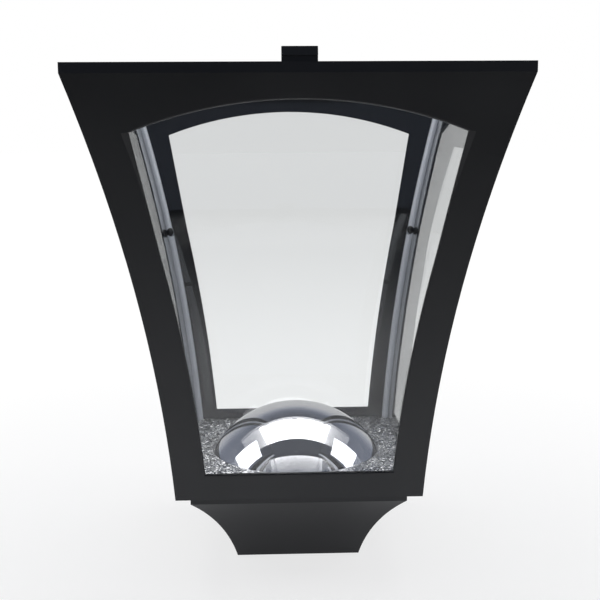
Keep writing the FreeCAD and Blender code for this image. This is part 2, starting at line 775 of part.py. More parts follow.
def make_post_collar():
    """Coved collar: a shell with a floor, four screw pillars and two clamp bosses."""
    block = four_sided_block("collar_block", cove_outline)
    core = four_sided_block("collar_core", core_outline)
    shell = cut("collar_shell", block, core)

    supports = []
    for x, y in pillar_places():
        supports.append(cylinder("pillar", "Sizes.pillar_diameter / 2", "Sizes.pillar_length",
                                 x, y, "Worked.pillar_foot"))
    supports.append(cylinder("clamp_boss", "Sizes.clamp_boss_diameter / 2", "Sizes.collar_top_width",
                             "-Sizes.collar_top_width / 2", "0", "Sizes.clamp_level", along_x=True))
    inside = doc.addObject("Part::Common", "collar_supports")
    inside.Base = joined("collar_support_stock", supports)
    inside.Tool = four_sided_block("collar_support_limit", cove_outline)
    solid = joined("collar_solid", [shell, inside])

    holes = [cylinder("sleeve_hole", "Worked.sleeve_radius + Sizes.fit_gap", "Sizes.collar_height")]
    for x, y in pillar_places():
        holes.append(cylinder("pilot_hole", "Sizes.collar_screw_diameter / 2 + Sizes.screw_gap",
                              "Sizes.pillar_length", x, y, "Worked.pillar_foot"))
    holes.append(cylinder("insert_hole", "Sizes.insert_diameter / 2 + Sizes.screw_gap",
                          "Sizes.collar_top_width", "-Sizes.collar_top_width / 2", "0",
                          "Sizes.clamp_level", along_x=True))
    collar = cut("post_collar", solid, joined("collar_holes", holes))
    collar.Label = "post_collar"
    return collar


def make_post_sleeve():
    """Round sleeve for the post under a square flange that sits on the collar's ledge."""
    body = new_body("post_sleeve")
    half = "Worked.collar_top_half - Sizes.collar_wall - Sizes.fit_gap"
    plan = add_sketch(body, "XY_Plane", lift="Worked.ledge")
    draw_rectangle(plan, negative(half), negative(half), half, half)
    draw_circle(plan, "0", "0", "Worked.bore_radius")
    for x, y in pillar_places():
        draw_circle(plan, x, y, "Sizes.collar_screw_diameter / 2 + Sizes.screw_gap")
    pad(body, plan, "Sizes.sleeve_flange_thickness")

    ring = add_sketch(body, "XY_Plane", lift="Sizes.sleeve_foot_gap")
    draw_circle(ring, "0", "0", "Worked.sleeve_radius")
    draw_circle(ring, "0", "0", "Worked.bore_radius")
    pad(body, ring, "Worked.ledge - Sizes.sleeve_foot_gap")

    clamp_hole = add_sketch(body, "YZ_Plane")
    draw_circle(clamp_hole, "0", "Sizes.clamp_level",
                "Sizes.clamp_screw_diameter / 2 + Sizes.fit_gap")
    pocket(body, clamp_hole)
    return body


# Clamp screws and their inserts

def make_clamp_insert(side, turn):
    """Threaded brass ring in the collar's side wall."""
    body = new_body(f"clamp_insert_{side}")
    ring = add_sketch(body, "YZ_Plane", lift="Worked.sleeve_radius + Sizes.fit_gap")
    draw_circle(ring, "0", "Sizes.clamp_level", "Sizes.insert_diameter / 2")
    draw_circle(ring, "0", "Sizes.clamp_level", "Sizes.clamp_screw_diameter / 2 + Sizes.pivot_gap")
    pad(body, ring, "Sizes.insert_length")
    return turn_body(body, turn)


def hexagon(sketch, x, y, width):
    """A six-sided outline with a width across its flats."""
    sides = 6
    reach = f"{width} / sqrt(3)"
    corners = []
    for step in range(sides):
        angle = 360 / sides * step
        corners.append((f"{x} + {reach} * cos({angle} deg)", f"{y} + {reach} * sin({angle} deg)"))
    draw_outline(sketch, corners)


def make_clamp_screw(side, turn):
    """Socket grub screw with a bevelled point, flush with the sleeve's bore at rest."""
    body = new_body(f"clamp_screw_{side}")
    tip = "Worked.bore_radius + Sizes.clamp_screw_setback"
    head = f"{tip} + Sizes.clamp_screw_length"
    radius = "Sizes.clamp_screw_diameter / 2"
    half = add_sketch(body, "XZ_Plane")
    draw_outline(half, [
        (tip, "0"),
        (head, "0"),
        (head, radius),
        (f"{tip} + Sizes.clamp_point_bevel", radius),
        (tip, f"{radius} - Sizes.clamp_point_bevel"),
    ])
    revolve(body, half, "H_Axis")
    socket = add_sketch(body, "YZ_Plane", lift=head)
    hexagon(socket, "0", "0", "Sizes.clamp_socket_width")
    pocket(body, socket, "Sizes.clamp_socket_depth")
    turn_body(body, turn)
    body.setExpression("Placement.Base.z", "Sizes.clamp_level")
    return body


# Screws inside

def make_countersunk_screw(kind, number, x, y, level):
    """Countersunk screw, its head flush with a level."""
    body = new_body(f"{kind}_{number}")
    head = f"Sizes.{kind}_head / 2"
    shank = f"Sizes.{kind}_diameter / 2"
    tip = f"-Sizes.{kind}_length"
    half = add_sketch(body, "XZ_Plane")
    draw_outline(half, [
        ("0", tip),
        (shank, tip),
        (shank, f"{shank} - {head}"),
        (head, "0"),
        ("0", "0"),
    ])
    revolve(body, half, "V_Axis")
    for axis, place in (("x", x), ("y", y), ("z", level)):
        body.setExpression(f"Placement.Base.{axis}", place)
    return body


def make_screws(kind, places, level):
    """All the screws of one kind."""
    return [make_countersunk_screw(kind, number, x, y, level)
            for number, (x, y) in enumerate(places, start=1)]


def grouped(name, members):
    """Like fasteners kept as one group of separate solids."""
    group = doc.addObject("Part::Compound", name)
    group.Label = name
    group.Links = members
    return group


# Roof catches

def make_roof_catch(side, turn):
    """Spring tongue with a round root in the rim's notch and a barb that slopes in towards its top."""
    body = new_body(f"roof_catch_{side}")
    radius = "Sizes.catch_thickness / 2"
    inner = f"Worked.catch_axis_out - {radius}"
    outer = f"Worked.catch_axis_out + {radius}"
    hook = "Worked.rim_half"
    top = "Worked.rim_top + Sizes.catch_reach"
    axis_level = "Worked.flare_top"
    section = add_sketch(body, "YZ_Plane")
    draw_outline(section, [
        (negative(outer), axis_level),
        (negative(outer), f"{top} - Sizes.catch_hook_height"),
        (negative(hook), f"{top} - Sizes.catch_hook_height"),
        (negative(outer), top),
        (negative(inner), top),
        (negative(inner), axis_level, radius, -1),
        (negative("Worked.catch_axis_out"), f"{axis_level} - {radius}", radius, -1),
    ])
    tongue = pad(body, section, "Sizes.catch_width", symmetric=True)
    round_edges(body, tongue, catch_corner_edges(tongue.Shape), "Sizes.catch_corner_round")
    return turn_body(body, turn)


def catch_corner_edges(shape):
    """Names of the two short edges at the ends of the tongue's top face."""
    top = value("Worked.rim_top + Sizes.catch_reach")
    half = value("Sizes.catch_width / 2")
    names = []
    for number, edge in enumerate(shape.Edges, start=1):
        box = edge.BoundBox
        at_top = box.ZMin > top - TOLERANCE
        at_end = abs(box.Center.x) > half - TOLERANCE
        if at_top and at_end:
            names.append(f"Edge{number}")
    return names


# Assembly

nodes = []
for side, turn in SIDES:
    nodes.append(make_side_frame(side, turn))
    nodes.append(make_clear_pane(side, turn))
for corner, turn in CORNERS:
    nodes.append(make_corner_bead(corner, turn))
nodes.append(grouped("corner_rivets", [make_corner_rivet(*place) for place in CORNERS]))
nodes.append(make_base_plate())
nodes.append(make_reflector_tray())
nodes.append(make_reflector_dome())
nodes.append(make_post_collar())
nodes.append(make_post_sleeve())
for side, turn in (("right", 0), ("left", 180)):
    nodes.append(make_clamp_insert(side, turn))
    nodes.append(make_clamp_screw(side, turn))
frame_screws = make_screws("frame_screw", frame_screw_places(), "Worked.tray_seat")
nodes.append(grouped("frame_screws", frame_screws))
collar_screws = make_screws("collar_screw", pillar_places(), "Worked.plate_top")
nodes.append(grouped("collar_screws", collar_screws))
for side, turn in SIDES:
    if side in SIDES_WITH_CATCH:
        nodes.append(make_roof_catch(side, turn))
doc.recompute()

for item in doc.Objects:
    if "Invalid" in item.State or "Error" in item.State:
        raise ValueError(f"{item.Label} failed: {item.State}")
for node in nodes:
    if node.Shape.isNull() or not node.Shape.isValid():
        raise ValueError(f"{node.Label} has no valid shape")

os.makedirs("parts", exist_ok=True)
for node in nodes:
    node.Shape.exportStep(f"parts/{node.Label}.step")
    print(node.Label, len(node.Shape.Solids), round(node.Shape.Volume, 1))
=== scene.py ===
# %% [markdown]
# Lantern head of a solar lamp post.
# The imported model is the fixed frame: every solid already stands in its place, in metres, with the
# origin in the middle of the collar's foot, +Z up and the front at -Y. This lesson gives the solids
# their finishes, models the dome once more, because a mirror needs a cleaner mesh than the solid
# has, and sets up the camera and the studio.

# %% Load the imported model
import math

import bpy
from mathutils import Matrix, Vector


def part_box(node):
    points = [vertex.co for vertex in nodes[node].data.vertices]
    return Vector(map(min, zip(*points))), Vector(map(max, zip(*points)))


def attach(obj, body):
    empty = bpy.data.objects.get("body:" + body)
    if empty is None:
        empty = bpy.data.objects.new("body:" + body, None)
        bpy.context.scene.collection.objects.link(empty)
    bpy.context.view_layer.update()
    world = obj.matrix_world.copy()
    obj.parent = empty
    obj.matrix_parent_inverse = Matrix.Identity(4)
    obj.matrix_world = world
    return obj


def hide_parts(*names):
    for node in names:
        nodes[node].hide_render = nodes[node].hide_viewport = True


MM = 0.001

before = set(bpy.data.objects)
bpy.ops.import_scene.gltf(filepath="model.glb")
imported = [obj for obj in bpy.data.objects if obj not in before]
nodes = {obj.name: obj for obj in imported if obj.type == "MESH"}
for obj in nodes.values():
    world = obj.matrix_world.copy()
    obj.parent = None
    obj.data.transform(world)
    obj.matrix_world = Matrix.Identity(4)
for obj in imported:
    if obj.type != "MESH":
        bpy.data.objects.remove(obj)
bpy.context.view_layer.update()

# %% [markdown]
# The camera. The photograph was taken from just below the level of the rim, a little to the left of
# the lantern's axis, with a moderate lens that looks slightly down. A constraint could aim the
# camera, but it can't give the small roll. A camera's own axes are right, up and backwards, so its
# matrix is written down from three plain angles: yaw, pitch and roll.

# %% Camera
EYE = Vector((-16.7, -581.2, 236.9)) * MM
YAW, PITCH, ROLL = math.radians(1.958), math.radians(9.118), math.radians(-0.365)
LENS_MM, SENSOR_MM = 59.66, 36.0
NEAREST_SEEN_M = 0.01

forward = Vector((math.sin(YAW) * math.cos(PITCH), math.cos(YAW) * math.cos(PITCH), -math.sin(PITCH)))
level_right = Vector((math.cos(YAW), -math.sin(YAW), 0))
level_up = level_right.cross(forward)
right = math.cos(ROLL) * level_right + math.sin(ROLL) * level_up
up = math.cos(ROLL) * level_up - math.sin(ROLL) * level_right

camera_data = bpy.data.cameras.new("camera")
camera_data.lens = LENS_MM
camera_data.sensor_width = SENSOR_MM
camera_data.clip_start = NEAREST_SEEN_M
camera = bpy.data.objects.new("camera", camera_data)
camera.matrix_world = Matrix.Translation(EYE) @ Matrix((right, up, -forward)).transposed().to_4x4()
bpy.context.scene.collection.objects.link(camera)
bpy.context.scene.camera = camera
bpy.context.scene.view_settings.view_transform = "Standard"
print("camera at", [round(v, 4) for v in EYE], "lens", LENS_MM, "mm")

# %% [markdown]
# Two helpers carry all the shading. Colours are written as sRGB hex values, as a colour picker
# shows them, and turned to the linear values that shaders work with. Nodes are added by one small
# function that sets a node's options, its values and its links.

# %% Colour and node helpers


def linear(hex_colour):
    """An sRGB hex colour as linear red, green, blue and full alpha, by the sRGB curve."""
    channels = [int(hex_colour[start:start + 2], 16) / 255 for start in (1, 3, 5)]
    bright = [c / 12.92 if c <= 0.04045 else ((c + 0.055) / 1.055) ** 2.4 for c in channels]
    return (*bright, 1.0)


def add_node(tree, kind, inputs=None, **options):
    """Adds a node. An input is a value, or another node's output socket to link."""
    node = tree.nodes.new(kind)
    for name, option in options.items():
        setattr(node, name, option)
    for name, source in (inputs or {}).items():
        if isinstance(source, bpy.types.NodeSocket):
            tree.links.new(source, node.inputs[name])
        else:
            node.inputs[name].default_value = source
    return node


print("mid grey #808080 is", round(linear("#808080")[0], 3), "in linear light")

# %% [markdown]
# Every finish starts as a material with a principled shader, and ends on one or more solids. These
# two steps are the same each time, so they get a helper each.

# %% Material helpers


def new_material(name):
    """A new node material, its tree and the principled shader that ends it."""
    material = bpy.data.materials.new(name)
    material.use_nodes = True
    tree = material.node_tree
    return material, tree, tree.nodes["Principled BSDF"]


def finish_nodes(material, *names):
    """Gives solids of the frame a material."""
    for name in names:
        nodes[name].data.materials.clear()
        nodes[name].data.materials.append(material)
    print(material.name, "on", len(names), "solids")


def nodes_named(start):
    """Names of the solids that start with these letters."""
    return [name for name in nodes if name.startswith(start)]


print("side frames to finish:", nodes_named("side_frame_"))

# %% [markdown]
# The side frames, collar and catches are moulded ABS, dyed black through. The mould was spark
# eroded, which leaves a fine, even grain that spreads highlights. The grain could be real bumps in
# the mesh, but it is far finer than any face, so two noise textures give it: a fine one in the bump,
# and a wide one that shifts the sheen a little from place to place, as the melt cools unevenly.

# %% Moulded black ABS
GRAIN_MM = 0.6
GRAIN_STRENGTH = 0.5
SHEEN_PATCH_MM = 60.0
SHEEN_SPREAD = 0.04
NOISE_LOW, NOISE_HIGH = 0.3, 0.7
MOULDED_IOR = 1.54


def moulded_black(name, hex_colour, roughness, grain_depth_mm):
    """Black moulded plastic with an eroded grain. A real grain is near 0.1 mm: drawn coarser to show."""
    material, tree, shader = new_material(name)
    place = add_node(tree, "ShaderNodeTexCoord").outputs["Object"]
    grain = add_node(tree, "ShaderNodeTexNoise",
                     {"Vector": place, "Scale": 1 / (GRAIN_MM * MM), "Detail": 2.0})
    patch = add_node(tree, "ShaderNodeTexNoise",
                     {"Vector": place, "Scale": 1 / (SHEEN_PATCH_MM * MM), "Detail": 1.0})
    sheen = add_node(tree, "ShaderNodeMapRange",
                     {"Value": patch.outputs["Fac"], "From Min": NOISE_LOW, "From Max": NOISE_HIGH,
                      "To Min": roughness - SHEEN_SPREAD, "To Max": roughness + SHEEN_SPREAD})
    bump = add_node(tree, "ShaderNodeBump",
                    {"Height": grain.outputs["Fac"], "Strength": GRAIN_STRENGTH,
                     "Distance": grain_depth_mm * MM})
    tree.links.new(sheen.outputs["Result"], shader.inputs["Roughness"])
    tree.links.new(bump.outputs["Normal"], shader.inputs["Normal"])
    shader.inputs["Base Color"].default_value = linear(hex_colour)
    shader.inputs["IOR"].default_value = MOULDED_IOR
    return material


black_abs = moulded_black("black_abs_spark_eroded", "#131417", roughness=0.45, grain_depth_mm=0.02)
finish_nodes(black_abs, *nodes_named("side_frame_"), *nodes_named("roof_catch_"), "post_collar")

# %% [markdown]
# The base plate and the post sleeve are the same plastic from a plainer, smoother mould, because
# they are out of sight once the lantern stands on its post. The rivets are black nylon, which is a
# little shinier. Each could have a material of its own, but only the colour, the sheen and the depth
# of the grain differ, so the same function makes them.

# %% Plain black mouldings and nylon rivets
black_abs_plain = moulded_black("black_abs_plain_mould", "#1A1A1D", roughness=0.42, grain_depth_mm=0.01)
finish_nodes(black_abs_plain, "base_plate", "post_sleeve")
black_nylon = moulded_black("black_nylon_moulded", "#131317", roughness=0.36, grain_depth_mm=0.015)
finish_nodes(black_nylon, "corner_rivets")

# %% [markdown]
# The panes are cast acrylic sheet, bent to the flare. Bending leaves it a little wavy, so that
# things mirrored in it come out streaked along the bend. The waves are too shallow to model. A noise
# that is stretched upwards gives them in the bump. Sheet is clear, so the shader transmits
# everything and the studio does the rest.

# %% Clear acrylic sheet
ACRYLIC_IOR = 1.49
WAVE_MM = 14.0
WAVE_DEPTH_MM = 0.02
WAVE_STRETCH = 6.0


def wavy_acrylic(name, hex_colour, clearness, roughness, wave_mm, wave_depth_mm):
    """Clear or milky acrylic with a faint waviness drawn out upwards."""
    material, tree, shader = new_material(name)
    place = add_node(tree, "ShaderNodeTexCoord").outputs["Object"]
    drawn = add_node(tree, "ShaderNodeMapping", {"Vector": place, "Scale": (1, 1, 1 / WAVE_STRETCH)})
    wave = add_node(tree, "ShaderNodeTexNoise",
                    {"Vector": drawn.outputs["Vector"], "Scale": 1 / (wave_mm * MM), "Detail": 1.0})
    bump = add_node(tree, "ShaderNodeBump",
                    {"Height": wave.outputs["Fac"], "Strength": 1.0, "Distance": wave_depth_mm * MM})
    tree.links.new(bump.outputs["Normal"], shader.inputs["Normal"])
    shader.inputs["Base Color"].default_value = linear(hex_colour)
    shader.inputs["Roughness"].default_value = roughness
    shader.inputs["IOR"].default_value = ACRYLIC_IOR
    shader.inputs["Transmission Weight"].default_value = clearness
    return material


clear_sheet = wavy_acrylic("clear_acrylic_bent_sheet", "#FBFCFC", clearness=1.0, roughness=0.0,
                           wave_mm=WAVE_MM, wave_depth_mm=WAVE_DEPTH_MM)
finish_nodes(clear_sheet, *nodes_named("clear_pane_"))

# %% [markdown]
# The corner beads are extruded from a milky acrylic, which lets no clear picture through and takes a
# soft grey-blue from the room. The die leaves draw lines along them. These are upright waves as in
# the panes, only narrower and deeper, so the same function makes them. Real draw lines are far finer
# and are drawn coarser to show.

# %% Milky extruded beads
DRAW_LINE_MM = 2.2
DRAW_LINE_DEPTH_MM = 0.1

milky_bead = wavy_acrylic("milky_acrylic_extruded", "#F2F6FC", clearness=0.0, roughness=0.22,
                          wave_mm=DRAW_LINE_MM, wave_depth_mm=DRAW_LINE_DEPTH_MM)
finish_nodes(milky_bead, *nodes_named("corner_bead_"))

# %% [markdown]
# The reflector tray is moulded with a pebbled face and metallised in vacuum. Each pebble throws the
# light another way, so the tray sparkles. Real pebbles could be modelled, but there are thousands.
# Cells of a Voronoi pattern stand for them: the random colour of a cell tilts the normal all over
# that cell, and a few cells get a white base colour, a painted glint for pebbles that catch the
# light. They are drawn coarser than the real grain to show.

# %% Metallised pebble grain
PEBBLE_MM = 0.75
PEBBLE_TILT = 0.6
PEBBLE_ROUGHNESS = 0.3
MIDDLE_COLOUR = (0.5, 0.5, 0.5)
# Painted glints: cells with a high random value are coloured towards white.
PAINTED_GLINT_FROM, PAINTED_GLINT_FULL = 0.4, 0.8
DULL_PEBBLE, PAINTED_GLINT_WHITE = "#64666E", "#FFFFFF"

silver, tree, shader = new_material("metallised_pebble_grain")
place = add_node(tree, "ShaderNodeTexCoord").outputs["Object"]
pebbles = add_node(tree, "ShaderNodeTexVoronoi", {"Vector": place, "Scale": 1 / (PEBBLE_MM * MM)})
cell = pebbles.outputs["Color"]
centred = add_node(tree, "ShaderNodeVectorMath", {0: cell, 1: MIDDLE_COLOUR}, operation="SUBTRACT")
tilt = add_node(tree, "ShaderNodeVectorMath",
                {0: centred.outputs["Vector"], "Scale": 2 * PEBBLE_TILT}, operation="SCALE")
flat = add_node(tree, "ShaderNodeNewGeometry").outputs["Normal"]
tilted = add_node(tree, "ShaderNodeVectorMath", {0: flat, 1: tilt.outputs["Vector"]}, operation="ADD")
facing = add_node(tree, "ShaderNodeVectorMath", {0: tilted.outputs["Vector"]}, operation="NORMALIZE")
chance = add_node(tree, "ShaderNodeSeparateColor", {"Color": cell}).outputs["Red"]
# Painted glints: the brightest cells get a white base colour, standing in for pebbles that catch the light.
painted_glint = add_node(tree, "ShaderNodeMapRange",
                 {"Value": chance, "From Min": PAINTED_GLINT_FROM, "From Max": PAINTED_GLINT_FULL})
tint = add_node(tree, "ShaderNodeMix",
                {"Factor": painted_glint.outputs["Result"], "A": linear(DULL_PEBBLE), "B": linear(PAINTED_GLINT_WHITE)},
                data_type="RGBA")
tree.links.new(tint.outputs["Result"], shader.inputs["Base Color"])
tree.links.new(facing.outputs["Vector"], shader.inputs["Normal"])
shader.inputs["Metallic"].default_value = 1.0
shader.inputs["Roughness"].default_value = PEBBLE_ROUGHNESS
finish_nodes(silver, "reflector_tray")

# %% [markdown]
# The dome is a thin moulded cap, polished and metallised, so it shows the whole room in small. A
# mirror gives away every facet, so the solid's triangles aren't good enough here. A ball could be
# cut and shelled, but the dome also has a skirt and a flange that the tray holds down. It is drawn
# as half a section, point by point, and spun round the axis. The sizes are the solid's own.

# %% Dome section
DOME_EDGE_MM = 49.5
DOME_RISE_MM = 27.0
DOME_WALL_MM = 1.5
FLANGE_WIDTH_MM = 4.0
FLANGE_THICKNESS_MM = 1.5
FLANGE_DROP_MM = 2.7
ARC_STEPS = 40

dome_low, dome_top = [corner[2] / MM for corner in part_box("reflector_dome")]
rim_level = dome_top - DOME_RISE_MM
ball_radius = (DOME_EDGE_MM ** 2 + DOME_RISE_MM ** 2) / (2 * DOME_RISE_MM)
ball_level = dome_top - ball_radius
flange_edge = DOME_EDGE_MM + FLANGE_WIDTH_MM
flange_top = rim_level - FLANGE_DROP_MM
flange_under = flange_top - FLANGE_THICKNESS_MM
inner_edge = DOME_EDGE_MM - DOME_WALL_MM
inner_radius = ball_radius - DOME_WALL_MM


def cap_arc(radius, edge):
    """Points of a cap's section from the axis out to its edge, as (out, level)."""
    widest = math.asin(edge / radius)
    angles = [widest * step / ARC_STEPS for step in range(ARC_STEPS + 1)]
    return [(radius * math.sin(angle), ball_level + radius * math.cos(angle)) for angle in angles]


section = cap_arc(ball_radius, DOME_EDGE_MM)
section += [(DOME_EDGE_MM, flange_top), (flange_edge, flange_top), (flange_edge, flange_under),
            (DOME_EDGE_MM, flange_under), (DOME_EDGE_MM, dome_low), (inner_edge, dome_low)]
section += reversed(cap_arc(inner_radius, inner_edge))
print("dome section of", len(section), "points, ball radius", round(ball_radius, 2), "mm")

# %% [markdown]
# A plane merged to its middle leaves one point. Extruding that point from place to place draws the
# section as by hand, and spin sweeps it round. The two ends lie on the axis, so every turn repeats
# them: merging closes the poles, and the normals are then turned outwards.

# %% Dome by spin
START_PLANE_MM = 1.0
DOME_TURNS = 128
MERGE_MM = 0.001
SHARP_EDGE = math.radians(30)

bpy.ops.object.select_all(action="DESELECT")
bpy.ops.mesh.primitive_plane_add(size=START_PLANE_MM * MM, location=(0, 0, dome_top * MM))
dome = bpy.context.object
dome.name = "dome_mirror"
bpy.ops.object.transform_apply(location=True, rotation=False, scale=False)
bpy.ops.object.mode_set(mode="EDIT")
bpy.ops.mesh.select_all(action="SELECT")
bpy.ops.mesh.merge(type="CENTER")
for (out, level), (next_out, next_level) in zip(section, section[1:]):
    step = ((next_out - out) * MM, 0, (next_level - level) * MM)
    bpy.ops.mesh.extrude_region_move(TRANSFORM_OT_translate={"value": step})
bpy.ops.mesh.select_all(action="SELECT")
bpy.ops.mesh.spin(steps=DOME_TURNS, angle=2 * math.pi, center=(0, 0, 0), axis=(0, 0, 1))
bpy.ops.mesh.select_all(action="SELECT")
bpy.ops.mesh.remove_doubles(threshold=MERGE_MM * MM)
bpy.ops.mesh.normals_make_consistent(inside=False)
bpy.ops.object.mode_set(mode="OBJECT")
bpy.ops.object.shade_smooth_by_angle(angle=SHARP_EDGE)
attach(dome, "head")
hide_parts("reflector_dome")
print("dome mesh", len(dome.data.polygons), "faces")

# %% [markdown]
# Metallised plastic is a bright mirror, a little greyer than silver. Polishing leaves the faintest
# orange peel, so that mirrored edges waver slightly, and handling leaves dull patches. A perfect
# mirror would look computed, so one wide noise gives both, in the bump and in the roughness.

# %% Metallised mirror
PEEL_MM = 9.0
PEEL_DEPTH_MM = 0.004
PEEL_LOW, PEEL_HIGH = 0.35, 0.7
CLEAN_ROUGHNESS, DULL_ROUGHNESS = 0.02, 0.06

mirror, tree, shader = new_material("metallised_mirror")
place = add_node(tree, "ShaderNodeTexCoord").outputs["Object"]
peel = add_node(tree, "ShaderNodeTexNoise",
                {"Vector": place, "Scale": 1 / (PEEL_MM * MM), "Detail": 1.0}).outputs["Fac"]
bump = add_node(tree, "ShaderNodeBump",
                {"Height": peel, "Strength": 1.0, "Distance": PEEL_DEPTH_MM * MM})
haze = add_node(tree, "ShaderNodeMapRange",
                {"Value": peel, "From Min": PEEL_LOW, "From Max": PEEL_HIGH,
                 "To Min": CLEAN_ROUGHNESS, "To Max": DULL_ROUGHNESS})
tree.links.new(bump.outputs["Normal"], shader.inputs["Normal"])
tree.links.new(haze.outputs["Result"], shader.inputs["Roughness"])
shader.inputs["Base Color"].default_value = linear("#E2E2E6")
shader.inputs["Metallic"].default_value = 1.0
dome.data.materials.append(mirror)
print(mirror.name, "on", dome.name)

# %% [markdown]
# The fasteners are turned metal: oxide-blackened and zinc-plated steel for the screws, plain brass
# for the inserts. Handling and plating leave a slight cloud in their shine. They are small, so fine
# turning rings wouldn't show, and one function gives all three a noise in the roughness and colour.

# %% Turned and plated metals
CLOUD_MM = 1.5
CLOUD_SPREAD = 0.08


def turned_metal(name, bright_hex, dark_hex, roughness):
    """Turned metal with a slight cloud in its shine and colour."""
    material, tree, shader = new_material(name)
    place = add_node(tree, "ShaderNodeTexCoord").outputs["Object"]
    cloud = add_node(tree, "ShaderNodeTexNoise",
                     {"Vector": place, "Scale": 1 / (CLOUD_MM * MM), "Detail": 3.0}).outputs["Fac"]
    shine = add_node(tree, "ShaderNodeMapRange",
                     {"Value": cloud, "From Min": NOISE_LOW, "From Max": NOISE_HIGH,
                      "To Min": roughness - CLOUD_SPREAD, "To Max": roughness + CLOUD_SPREAD})
    tint = add_node(tree, "ShaderNodeMix",
                    {"Factor": cloud, "A": linear(dark_hex), "B": linear(bright_hex)}, data_type="RGBA")
    tree.links.new(tint.outputs["Result"], shader.inputs["Base Color"])
    tree.links.new(shine.outputs["Result"], shader.inputs["Roughness"])
    shader.inputs["Metallic"].default_value = 1.0
    return material


black_steel = turned_metal("black_oxide_steel", "#3A3A3E", "#1E1E21", roughness=0.4)
finish_nodes(black_steel, *nodes_named("clamp_screw_"))
zinc_steel = turned_metal("zinc_plated_steel", "#D4D8DC", "#9A9FA6", roughness=0.32)
finish_nodes(zinc_steel, "frame_screws", "collar_screws")
brass = turned_metal("turned_brass", "#D2AC5E", "#A07C36", roughness=0.3)
finish_nodes(brass, *nodes_named("clamp_insert_"))

# %% [markdown]
# The studio. The lantern stands on an oval white shooting table that is lit from below, with a pale
# sweep behind it, in a darker room. Black plastic, glass and mirrors show their surroundings more
# than their own colour: the table lightens the collar and the lower rails, the dark room keeps the
# top rails black, and the softboxes draw the bright shapes in the dome. Table and sweep could be
# modelled, but one wide plane does for both, with a material that changes from place to place.

# %% Floor plane
FLOOR_SIZE_M = 40.0
FLOOR_GAP_MM = 0.2

bpy.ops.object.select_all(action="DESELECT")
bpy.ops.mesh.primitive_plane_add(size=FLOOR_SIZE_M, location=(0, 0, -FLOOR_GAP_MM * MM))
floor = bpy.context.object
floor.name = "floor"
table, floor_tree, floor_shader = new_material("lit_white_table")
floor.data.materials.append(table)
print(table.name, "on a floor", FLOOR_SIZE_M, "m wide")

# %% [markdown]
# The camera, and what it sees straight through the panes, gets a plain pale background. Mirrored and
# scattered light gets the studio. The Light Path node tells the kinds of rays apart: one that comes
# through a pane and has no bounce behind it looks straight through. Floor and room both need this.

# %% Kinds of rays
HALF_A_BOUNCE = 0.5


def kinds_of_rays(tree):
    """The light path's outputs, and a 1 for rays that look straight through the panes."""
    ray = add_node(tree, "ShaderNodeLightPath").outputs
    bounces = add_node(tree, "ShaderNodeMath", {0: ray["Glossy Depth"], 1: ray["Diffuse Depth"]},
                       operation="ADD").outputs[0]
    straight = add_node(tree, "ShaderNodeMath", {0: bounces, 1: HALF_A_BOUNCE},
                        operation="LESS_THAN").outputs[0]
    through = add_node(tree, "ShaderNodeMath", {0: ray["Is Transmission Ray"], 1: straight},
                       operation="MULTIPLY").outputs[0]
    return ray, through


floor_ray, floor_through = kinds_of_rays(floor_tree)
print("the floor's material has", len(floor_tree.nodes), "nodes so far")

# %% [markdown]
# Where things lie on the floor. The table is an oval: each place is measured as a share of the
# table's half width and half depth, and the length of that pair is 1 on its edge. The sweep starts
# behind the lantern. Both fade softly, because a hard edge would show as a line in the dome.

# %% Table and sweep on the floor
TABLE_HALF_WIDTH_M, TABLE_HALF_DEPTH_M = 0.75, 0.33
TABLE_EDGE = 0.22
SWEEP_START_M, SWEEP_FULL_M = 0.2, 0.5
SWEEP_GLOW = 0.6

place = add_node(floor_tree, "ShaderNodeTexCoord").outputs["Object"]
distance = add_node(floor_tree, "ShaderNodeVectorMath", {0: place}, operation="LENGTH").outputs["Value"]
behind = add_node(floor_tree, "ShaderNodeSeparateXYZ", {"Vector": place}).outputs["Y"]
shares = add_node(floor_tree, "ShaderNodeVectorMath",
                  {0: place, 1: (1 / TABLE_HALF_WIDTH_M, 1 / TABLE_HALF_DEPTH_M, 0)},
                  operation="MULTIPLY").outputs["Vector"]
table_share = add_node(floor_tree, "ShaderNodeVectorMath", {0: shares}, operation="LENGTH").outputs["Value"]
on_table = add_node(floor_tree, "ShaderNodeMapRange",
                    {"Value": table_share, "From Min": 1 - TABLE_EDGE, "From Max": 1 + TABLE_EDGE,
                     "To Min": 1.0, "To Max": 0.0},
                    interpolation_type="SMOOTHSTEP").outputs["Result"]
floor_sweep = add_node(floor_tree, "ShaderNodeMapRange",
                       {"Value": behind, "From Min": SWEEP_START_M, "From Max": SWEEP_FULL_M,
                        "To Min": 0.0, "To Max": SWEEP_GLOW},
                       interpolation_type="SMOOTHSTEP").outputs["Result"]
print("table of", 2 * TABLE_HALF_WIDTH_M, "by", 2 * TABLE_HALF_DEPTH_M, "m")

# %% [markdown]
# The floor's own colour takes lamp light and shadow. The camera sees a white floor that shines by
# itself, and only near the lantern a share of it takes light, so that the shadow shows. Rays through
# the panes see no shadow. Mirrored and scattered rays meet a white table on a dark floor.

# %% Floor colour
SHADOW_SHARE = 0.25
SHADOW_NEAR_M, SHADOW_FAR_M = 0.15, 0.5
DARK_FLOOR, WHITE_TABLE = 0.03, 0.85

